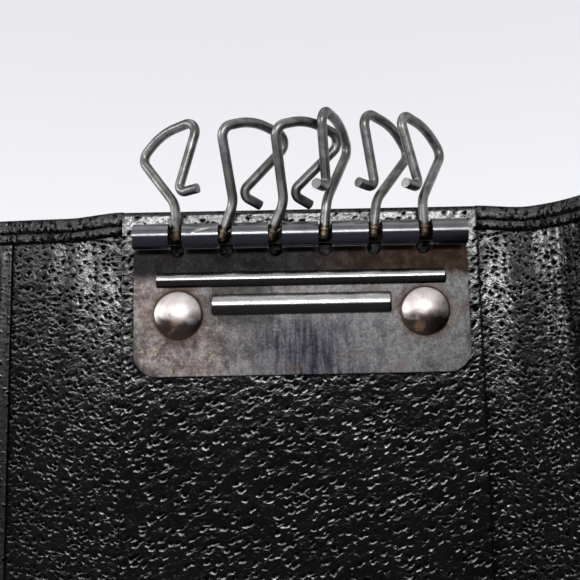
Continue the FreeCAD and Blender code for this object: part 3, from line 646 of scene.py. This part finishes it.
def pebbled_leather(
    name,
    grain,
    turn,
    stretch,
    pits,
    depth,
    fine,
    sheen,
    dull_pits=0.0,
    creases=0.0,
    top_sheen_and_wear=0.1,
    rim_sheen_and_wear=0.0,
    covered=None,
):
    """Pebbled leather with a painted sheen on lands that face a little up, more so towards the top of the
    case.

    sheen is the least shine of the lands, and dull_pits the share of it in the pits, as painted shade.
    creases is the strength of the painted shade along the lines at a bend, handling the painted sheen towards
    the top, partly for wear, and rubbed more of it at the very top. covered is the patch under another part,
    which stays dull as painted shadow.
    """
    finish = Leather(name, grain, turn, stretch)
    land, slope = finish.press(pits, depth, fine)
    finish.dye_and_pit_shade(land)
    shine = finish.product(
        # Painted sheen on what faces a little up, partly for wear towards the top
        finish.painted_sheen_and_wear(slope, sheen, top_sheen_and_wear, rim_sheen_and_wear),
        finish.ramp(finish.noise(finish.warped, grain * 1.7, 1.0), 0.36, 0.56, 0.4, 1.0),
        # Painted shade along the lines at a bend
        finish.creased(creases),
        # Painted shade: less shine in the pits
        finish.ramp(land, 0.05, 0.5, dull_pits, 1.0),
        # Painted shade: less shine where the surface faces far up
        finish.ramp(slope, 0.3, 0.7, 1.0, 0.1),
        # Painted shade: less shine in tight corners
        finish.ramp(finish.hollows(1.5, 0.8, 0.55), 0.0, 1.0, 1.0, 0.0),
    )
    # Painted shadow: the patch under the plate loses its shine
    if covered:
        shine = finish.product(shine, finish.uncovered(**covered))
    # The plain level stays on the socket for viewers that can't follow the pattern linked to it.
    finish.set(IOR=1.6, Specular_IOR_Level=0.25)
    finish.set(Specular_IOR_Level=shine)
    return finish.material


# Metal, board and floor

class PlateNickel(Finish):
    """Patterns and colours of the key plate's tarnished nickel.

    Each pair is where a stain, or a patch of painted shade, starts to show and where it is full: across the
    plate, out from a middle, or in height.
    """

    WARM_ACROSS = (2.0, -14.0)
    BLUE_MIDDLE = 1.0
    BLUE_REACH = (19.5, 6.5)
    BLUE_LEVEL = (84.0, 80.0)
    BROWN_ACROSS = (-6.0, 16.0)
    BROWN_LEVEL = (87.2, 89.8)
    RING_REACH = (7.4, 5.6)
    # Where the painted shade by the short ridge lies
    RIDGE_SHADE_MIDDLE = -9.5
    RIDGE_SHADE_REACH = (13.5, 9.5)
    RIDGE_SHADE_LEVEL = (80.6, 82.2)
    SHADE_LEVEL = (89.1, 90.9)
    SHADE_ACROSS = (-4.0, 18.0)
    BROWN = (0.034, 0.022, 0.016)
    RUST = (0.05, 0.033, 0.025)
    # The colour of the painted shade by the short ridge
    RIDGE_SHADE = (0.014, 0.014, 0.013)
    YELLOW = (0.2, 0.17, 0.1)
    PALE = (0.06, 0.057, 0.056)
    HOLLOW_DARK = (0.012, 0.008, 0.006)

    def __init__(self):
        super().__init__("plate_nickel")
        self.spot = self.place()
        self.across = self.axis(self.spot, 0)
        self.level = self.axis(self.spot, 2)
        self.cloud = self.noise(self.spot, 0.21, 4.0, 0.6, 0.4)
        self.mottle = self.noise(self.spot, 0.65, 4.0, 0.65)
        self.fine = self.noise(self.spot, 3.2, 4.0, 0.65)
        self.streaks = self.noise(self.stretched(self.spot, (0.6, 4.0, 6.0)), 1.0, 4.0, 0.6)
        self.lines = self.noise(self.stretched(self.spot, (20.0, 4.0, 0.5)), 1.0, 4.0, 0.6)
        # Darker in tight corners, found by ambient occlusion
        self.hollow_darkening = self.hollows(1.5, 0.9, 0.4)
        uneven_across = self.total(self.across, self.product(self.cloud, 12.0))
        self.leftward = self.ramp(uneven_across, *self.WARM_ACROSS)
        self.ragged = self.product(self.total(self.cloud, self.streaks), 6.0)

    def tarnish(self):
        """Warm on the left, bluish and streaked low down in the middle, and grey elsewhere."""
        grey = self.mix(self.ramp(self.mottle, 0.3, 0.7), (0.054, 0.053, 0.055), (0.104, 0.103, 0.105))
        warm = self.mix(self.ramp(self.mottle, 0.35, 0.65), (0.05, 0.040, 0.039), (0.15, 0.132, 0.130))
        blue = self.mix(self.ramp(self.streaks, 0.38, 0.62), (0.008, 0.0085, 0.012), (0.042, 0.043, 0.055))
        away = self.total(self.apart(self.across, self.BLUE_MIDDLE), self.ragged)
        middle = self.product(self.ramp(away, *self.BLUE_REACH), self.ramp(self.level, *self.BLUE_LEVEL))
        return self.mix(middle, self.mix(self.leftward, grey, warm), blue, 0.88)

    def browned(self):
        """How brown the sheet is: at the upper right, and in patches."""
        rightward = self.ramp(self.across, *self.BROWN_ACROSS)
        corner = self.product(rightward, self.ramp(self.level, *self.BROWN_LEVEL))
        patches = self.product(self.ramp(self.cloud, 0.5, 0.66), 0.7)
        either = self.math("MAXIMUM", corner, patches)
        return self.product(either, self.ramp(self.mottle, 0.3, 0.6, 0.45, 0.9))

    def rings(self):
        """A stain round each rivet."""
        beside = self.math("SUBTRACT", self.math("ABSOLUTE", self.across), RIVET_MIDDLE[0])
        above = self.math("SUBTRACT", self.level, RIVET_MIDDLE[2])
        away = self.length(self.combined(beside, 0.0, above))
        return self.ramp(self.total(away, self.product(self.cloud, 4.0)), *self.RING_REACH)

    def painted_ridge_shade(self):
        """Painted shade behind the left half of the short ridge, from a little below it upwards."""
        away = self.total(self.apart(self.across, self.RIDGE_SHADE_MIDDLE), self.ragged)
        return self.product(self.ramp(away, *self.RIDGE_SHADE_REACH), self.ramp(self.level, *self.RIDGE_SHADE_LEVEL))

    def specks(self):
        """Yellowish specks on the left."""
        specks = self.ramp(self.noise(self.spot, 1.1, 2.0, 0.6), 0.62, 0.68)
        return self.product(specks, self.leftward, self.ramp(self.cloud, 0.4, 0.55))

    def sheet_color(self, browned):
        """The flat sheet: tarnish and stains with a fine grain, painted shade by the short ridge, and darker
        in the painted shade of the barrel.
        """
        base = self.mix(browned, self.tarnish(), self.BROWN)
        base = self.mix(self.rings(), base, self.RUST, 0.75)
        # Painted shade behind the short ridge
        base = self.mix(self.painted_ridge_shade(), base, self.RIDGE_SHADE, 0.8)
        base = self.mix(self.specks(), base, self.YELLOW, 0.8)
        fine_grain = self.ramp(self.fine, 0.35, 0.7, 0.7, 1.5)
        grain = self.product(fine_grain, self.ramp(self.cloud, 0.3, 0.7, 0.6, 1.5))
        base = self.vector("MULTIPLY", base, self.combined(grain, grain, grain))
        rightward = self.ramp(self.across, *self.SHADE_ACROSS)
        shaded = self.mix(rightward, (0.005, 0.005, 0.0055), (0.018, 0.011, 0.008))
        uneven_level = self.total(self.level, self.product(self.mottle, 2.4))
        base = self.mix(self.ramp(uneven_level, *self.SHADE_LEVEL), base, shaded, 0.96)
        base = self.mix(self.ramp(self.fine, 0.5, 0.75), base, self.PALE, 0.17)
        # Darker in tight corners
        return self.mix(self.hollow_darkening, base, self.HOLLOW_DARK, 0.8)

    def ridge_color(self):
        """Polished metal, with painted shade on the undersides."""
        polished = self.mix(self.ramp(self.cloud, 0.35, 0.65), (0.34, 0.33, 0.325), (0.48, 0.47, 0.46))
        # Painted shade where the ridge faces down
        return self.mix(self.underside(0.06, -0.14), polished, (0.022, 0.02, 0.02))

    def barrel_color(self):
        """Smooth grey metal, darker in its corners, with painted shade underneath."""
        rolled = self.mix(self.ramp(self.cloud, 0.35, 0.65), (0.125, 0.125, 0.135), (0.175, 0.173, 0.18))
        rolled = self.mix(self.hollow_darkening, rolled, (0.05, 0.04, 0.03), 0.5)
        # Painted shade where the barrel faces down
        return self.mix(self.underside(0.01, -0.14), rolled, (0.03, 0.03, 0.04))


def plate_metal():
    """The key plate: a dull tarnished sheet, polished ridges and a smoother rolled barrel."""
    finish = PlateNickel()
    browned = finish.browned()
    color = finish.sheet_color(browned)
    rough = finish.total(finish.ramp(finish.mottle, 0.3, 0.7, 0.32, 0.46), finish.product(browned, 0.1))

    raised = finish.ramp(finish.axis(finish.spot, 1), *RIDGE_START)
    color = finish.mix(raised, color, finish.ridge_color())
    rough = finish.between(raised, rough, finish.ramp(finish.mottle, 0.3, 0.7, 0.22, 0.32))

    spoke = finish.vector("SUBTRACT", finish.spot, BARREL_MIDDLE)
    spoke = finish.vector("MULTIPLY", spoke, (0.0, 1.0, 1.0))
    exact, barrel = finish.turned(spoke, BARREL_RADIUS)
    color = finish.mix(barrel, color, finish.barrel_color())
    rough = finish.between(barrel, rough, finish.ramp(finish.lines, 0.35, 0.7, 0.22, 0.31))

    uneven = finish.total(
        finish.product(finish.lines, 0.5),
        finish.product(finish.fine, 0.3),
        finish.product(finish.mottle, finish.between(barrel, 1.2, 0.2)),
    )
    finish.set(Base_Color=color, Roughness=rough, Metallic=1.0)
    finish.relief(uneven, 0.02, 0.12, (exact, barrel))
    return finish.material


def satin_metal(name, dark, light, smooth, rough, draw=(0.7, 0.7, 0.7), browned_below=None):
    """Worn satin metal with soft blotches, scratches drawn out along the part, and dark hollows.

    Below the height browned_below the metal is stained brown.
    """
    tarnish = (0.10, 0.08, 0.06)
    brown = (0.09, 0.066, 0.045)
    finish = Finish(name)
    place = finish.place()
    cloud = finish.noise(place, 0.38, 4.0, 0.6, 0.4)
    scratches = finish.noise(finish.stretched(place, draw), 1.0, 4.0, 0.65)
    base = finish.mix(finish.ramp(cloud, 0.35, 0.68), dark, light)
    stain = finish.ramp(finish.noise(place, 0.23, 3.0, 0.6), 0.56, 0.74)
    base = finish.mix(stain, base, tarnish, 0.4)
    if browned_below:
        level = finish.axis(place, 2)
        base = finish.mix(finish.ramp(level, browned_below, browned_below - 0.5), base, brown)
    base = finish.mix(finish.hollows(1.0, 0.8, 0.3), base, (0.03, 0.025, 0.02), 0.7)
    finish.set(Base_Color=base, Roughness=finish.ramp(scratches, 0.3, 0.7, smooth, rough), Metallic=1.0)
    finish.relief(finish.total(scratches, finish.product(cloud, 0.5)), 0.02, 0.1)
    return finish.material


def rivet_metal():
    """Worn pinkish nickel domes, bright above, with painted shade and a painted warm reflection below, dark
    at the rim.
    """
    finish = Finish("rivet_nickel")
    place = finish.place()
    side = finish.math("SIGN", finish.axis(place, 0))
    middle = finish.vector("MULTIPLY", finish.combined(side, 1.0, 1.0), RIVET_MIDDLE)
    spoke = finish.vector("SUBTRACT", place, middle)
    rise = finish.axis(finish.vector("NORMALIZE", spoke), 2)
    cloud = finish.noise(place, 0.42, 4.0, 0.6, 0.4)
    fine = finish.noise(place, 2.4, 3.0, 0.6)
    base = finish.mix(finish.ramp(cloud, 0.35, 0.68), (0.64, 0.565, 0.555), (0.84, 0.775, 0.77))
    # Painted shade where the dome faces down
    uneven_rise = finish.total(rise, finish.ramp(cloud, 0.3, 0.7, -0.06, 0.06))
    base = finish.mix(finish.ramp(uneven_rise, 0.1, -0.26), base, (0.042, 0.032, 0.03))
    # Painted warm reflection on the lower part of the dome
    warm_reflection = finish.ramp(finish.noise(place, 0.3, 3.0, 0.6), 0.5, 0.64)
    warm_reflection = finish.product(warm_reflection, finish.ramp(rise, -0.05, -0.3, 0.0, 0.6))
    base = finish.mix(warm_reflection, base, (0.26, 0.15, 0.09))
    from_middle = finish.length(finish.vector("MULTIPLY", spoke, (1.0, 0.0, 1.0)))
    base = finish.mix(finish.ramp(from_middle, *RIVET_RIM), base, (0.06, 0.045, 0.04))
    base = finish.mix(finish.hollows(0.8, 0.75, 0.3), base, (0.03, 0.02, 0.015))
    finish.set(Base_Color=base, Roughness=finish.ramp(fine, 0.3, 0.7, 0.36, 0.5), Metallic=1.0)
    finish.relief(finish.total(cloud, fine), 0.02, 0.1, finish.turned(spoke, RIVET_RADIUS))
    return finish.material


def board_stock():
    """Grey-brown card with pressed fibres."""
    finish = Finish("board_stock")
    place = finish.place()
    fibres = finish.noise(finish.stretched(place, (4.0, 1.0, 0.5)), 1.0, 5.0, 0.7)
    patches = finish.noise(place, 0.18, 3.0)
    color = finish.mix(finish.ramp(fibres, 0.35, 0.7), (0.17, 0.14, 0.11), (0.30, 0.26, 0.20))
    finish.set(Base_Color=color, Roughness=finish.ramp(patches, 0.3, 0.7, 0.75, 0.92))
    finish.relief(fibres, 0.06)
    return finish.material


def floor_paper():
    """Even pale paper with a faint mottle."""
    finish = Finish("floor_paper")
    mottle = finish.noise(finish.place(), 0.04, 3.0)
    finish.set(Base_Color=finish.mix(mottle, (0.79, 0.79, 0.80), (0.82, 0.82, 0.83)))
    finish.set(Roughness=0.9, Specular_IOR_Level=0.1)
    return finish.material


# Pieces with their finishes

def dress(item, material):
    """Gives an object one material."""
    item.data.materials.clear()
    item.data.materials.append(material)


def dress_leather():
    """Makes the leather pieces, each with its own pebble."""
    inner_grain = {"grain": 12.0, "turn": 20.0, "stretch": 1.1}
    strip = pebbled_leather(
        "strip_pebble",
        grain=10.0,
        turn=27.0,
        stretch=1.6,
        pits=(0.1, 0.5),
        depth=0.09,
        fine=0.32,
        sheen=0.012,
        rim_sheen_and_wear=0.05,
        covered=PLATE_PATCH,
    )
    outer = pebbled_leather(
        "outer_pebble",
        grain=13.0,
        turn=70.0,
        stretch=1.3,
        pits=(0.2, 0.8),
        depth=0.15,
        fine=0.4,
        sheen=0.03,
        dull_pits=0.12,
        creases=0.3,
        top_sheen_and_wear=0.06,
    )
    smooth = pebbled_leather(
        "pocket_pebble",
        **inner_grain,
        pits=(0.1, 0.5),
        depth=0.03,
        fine=0.5,
        sheen=0.2,
        top_sheen_and_wear=0.05,
    )
    dress(center_strip(), strip)
    dress(center_cover(), outer)
    for side, creases in (("left", 0.15), ("right", 0.75)):
        soft = pebbled_leather(
            side + "_pebble",
            **inner_grain,
            pits=(0.12, 0.62),
            depth=0.07,
            fine=0.4,
            sheen=0.02,
            creases=creases,
        )
        dress(side_cover(side), outer)
        dress(side_lining(side), soft)
    dress(pocket_face(), smooth)


def dress_metal():
    """Gives the carried-over CAD nodes their finishes."""
    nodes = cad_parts
    wire = satin_metal(
        "hook_wire",
        dark=(0.12, 0.117, 0.114),
        light=(0.25, 0.246, 0.242),
        smooth=0.28,
        rough=0.42,
        draw=(0.5, 0.5, 4.0),
        browned_below=STEM_STAIN_TOP,
    )
    rivet = rivet_metal()
    snap = satin_metal("snap_nickel", (0.38, 0.38, 0.385), (0.5, 0.5, 0.5), 0.2, 0.32)
    steel = satin_metal("hidden_steel", (0.3, 0.3, 0.3), (0.42, 0.42, 0.42), 0.35, 0.5)
    brass = satin_metal("washer_brass", (0.10, 0.08, 0.055), (0.17, 0.135, 0.09), 0.32, 0.46)
    board = board_stock()
    dress(nodes["key_plate"], plate_metal())
    for side in SIDES:
        dress(nodes[side + "_rivet_cap"], rivet)
        dress(nodes[side + "_rivet_post"], steel)
        dress(nodes[side + "_board"], board)
    dress(nodes["center_board"], board)
    for name in ("snap_cap", "snap_socket", "snap_stud"):
        dress(nodes[name], snap)
    dress(nodes["snap_post"], steel)
    for index in range(1, HOOK_COUNT + 1):
        dress(nodes["key_hook_%d" % index], wire)
        dress(nodes["hook_washer_%d" % index], brass)


# Stage, light and camera

def stage():
    """A wide pale floor under the case, in metres."""
    mesh = bpy.data.meshes.new("floor")
    reach = 8.0
    corners = [(-reach, -reach, 0), (reach, -reach, 0), (reach, reach, 0), (-reach, reach, 0)]
    mesh.from_pydata(corners, [], [(0, 1, 2, 3)])
    floor = bpy.data.objects.new("floor", mesh)
    bpy.context.scene.collection.objects.link(floor)
    dress(floor, floor_paper())


def surroundings():
    """A pale room, dimmer high up behind the case and low down in front of it."""
    world = bpy.data.worlds.new("room")
    bpy.context.scene.world = world
    world.use_nodes = True
    room = Nodes(world.node_tree)
    direction = room.node("ShaderNodeTexCoord", {}).outputs["Generated"]
    depth = room.axis(direction, 1)
    rise = room.axis(direction, 2)
    behind = room.mix(room.ramp(rise, 0.10, 0.48), (0.945, 0.945, 0.98), (0.80, 0.80, 0.845))
    behind = room.mix(room.ramp(rise, 0.5, 0.8), behind, (0.3, 0.3, 0.31))
    ahead = room.mix(room.ramp(rise, 0.0, 0.1), (0.62, 0.62, 0.635), (0.4, 0.4, 0.41))
    ahead = room.mix(room.ramp(rise, 0.22, 0.5), ahead, (0.75, 0.75, 0.76))
    shade = room.mix(room.ramp(depth, -0.25, 0.3), ahead, behind)
    background = room.node("ShaderNodeBackground", {"Color": shade})
    room.node("ShaderNodeOutputWorld", {"Surface": background.outputs[0]})


def soft_light(name, place, width, height, power, spread=180):
    """A soft light aimed at the key plate, its place and size in millimetres.

    A small spread, in degrees, keeps it off the floor.
    """
    target = (0, 0, 90)
    data = bpy.data.lights.new(name, "AREA")
    data.shape = "RECTANGLE"
    data.size = width * MM
    data.size_y = height * MM
    data.energy = power
    data.spread = math.radians(spread)
    lamp = bpy.data.objects.new(name, data)
    bpy.context.scene.collection.objects.link(lamp)
    start = Vector(place) * MM
    lamp.location = start
    lamp.rotation_euler = (Vector(target) * MM - start).to_track_quat("-Z", "Y").to_euler()


def lights():
    """A wide lamp overhead, a long low one in front and a weaker one from the left."""
    soft_light("overhead", (-150, 0, 1500), width=1300, height=900, power=3)
    soft_light("window", (0, -1150, 360), width=1800, height=180, power=1.35, spread=50)
    soft_light("side", (-1150, -450, 360), width=1100, height=120, power=0.7, spread=50)


def camera():
    """The photograph's view: close to the hook plate, a little below it and looking slightly up."""
    place = Vector((-1.73, -130.6, 68.56)) * MM
    pitch = math.radians(7.94)
    roll = math.radians(-1.12)
    data = bpy.data.cameras.new("view")
    data.angle = math.radians(37.83)
    data.clip_start = 0.002
    data.clip_end = 20
    item = bpy.data.objects.new("view", data)
    bpy.context.scene.collection.objects.link(item)
    ahead = Vector((0, math.cos(pitch), math.sin(pitch)))
    above = Vector((0, -math.sin(pitch), math.cos(pitch)))
    right = Vector((1, 0, 0))
    tilted_right = right * math.cos(roll) + above * math.sin(roll)
    tilted_up = above * math.cos(roll) - right * math.sin(roll)
    turn = Matrix((tilted_right, tilted_up, -ahead)).transposed()
    item.matrix_world = Matrix.Translation(place) @ turn.to_4x4()
    bpy.context.scene.camera = item


dress_leather()
dress_metal()
stage()
surroundings()
lights()
camera()
bpy.context.scene.view_settings.view_transform = "Standard"
